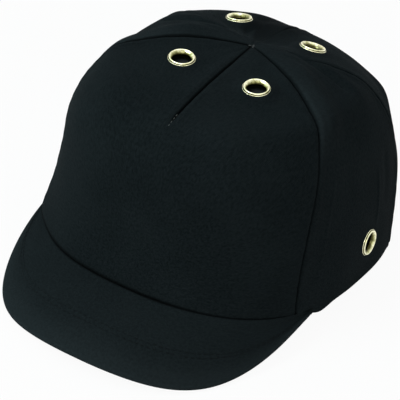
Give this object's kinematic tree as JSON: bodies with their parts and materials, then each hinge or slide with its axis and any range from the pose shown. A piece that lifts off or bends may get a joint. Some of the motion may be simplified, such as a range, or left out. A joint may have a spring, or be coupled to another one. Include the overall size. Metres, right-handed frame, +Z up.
{
  "type": "bump cap",
  "caption": "Short-peak cloth bump cap over a vented hard inner shell, with metal eyelets and a hook-and-loop rear strap.",
  "frame": {"origin": "centre of the cap's bounding box, on the floor that the peak and the rear hem rest on", "axes": "+Z up, -Y towards the peak, +X towards the wearer's left; the cap's own hem plane is tipped back about X so that it stands on its peak and rear hem"},
  "size_m": [0.187, 0.2628, 0.1239],
  "materials": {
    "cap_twill": "matt black cotton twill",
    "seam_tape": "matt woven tape",
    "eyelet_brass": "bright rolled",
    "peak_board": "matt moulded sheet",
    "shell_plastic": "satin moulded",
    "pad_foam": "matt closed-cell foam",
    "sweatband_cloth": "matt brushed towelling",
    "strap_cloth": "matt black cotton twill",
    "hook_fastener": "woven hook tape",
    "loop_fastener": "brushed loop tape"
  },
  "bodies": {
    "insert": {"inner_shell": "shell_plastic", "crown_foam_pad": "pad_foam", "brow_foam_pad": "pad_foam", "nape_foam_pad": "pad_foam"},
    "crown": {"front_panel": "cap_twill", "left_side_panel": "cap_twill", "right_side_panel": "cap_twill", "left_rear_panel": "cap_twill", "right_rear_panel": "cap_twill", "dart_tape": "seam_tape", "left_front_seam_tape": "seam_tape", "right_front_seam_tape": "seam_tape", "left_side_seam_tape": "seam_tape", "right_side_seam_tape": "seam_tape", "rear_seam_tape": "seam_tape", "front_left_eyelet": "eyelet_brass", "front_left_eyelet_washer": "eyelet_brass", "front_right_eyelet": "eyelet_brass", "front_right_eyelet_washer": "eyelet_brass", "rear_left_eyelet": "eyelet_brass", "rear_left_eyelet_washer": "eyelet_brass", "rear_right_eyelet": "eyelet_brass", "rear_right_eyelet_washer": "eyelet_brass", "side_left_eyelet": "eyelet_brass", "side_left_eyelet_washer": "eyelet_brass", "side_right_eyelet": "eyelet_brass", "side_right_eyelet_washer": "eyelet_brass", "peak_board": "peak_board", "peak_upper_cover": "cap_twill", "peak_under_cover": "cap_twill", "sweatband": "sweatband_cloth", "opening_binding": "seam_tape", "hook_strap_anchor": "strap_cloth", "loop_strap": "strap_cloth", "loop_tape": "loop_fastener"},
    "hook_tab": {"hook_strap": "strap_cloth", "hook_tape": "hook_fastener"}
  },
  "joints": [
    {"name": "crown_lift", "type": "slide", "parent": "insert", "child": "crown", "axis": [0, 0.1053, 0.9944], "range_m": [0, 0.14], "deforming": ["sweatband"]},
    {"name": "hook_strap_peel", "type": "hinge", "parent": "crown", "child": "hook_tab", "pos_m": [0.03259, 0.12325, 0.01351], "axis": [0, -0.1053, -0.9944], "range_deg": [0, 85]}
  ]
}
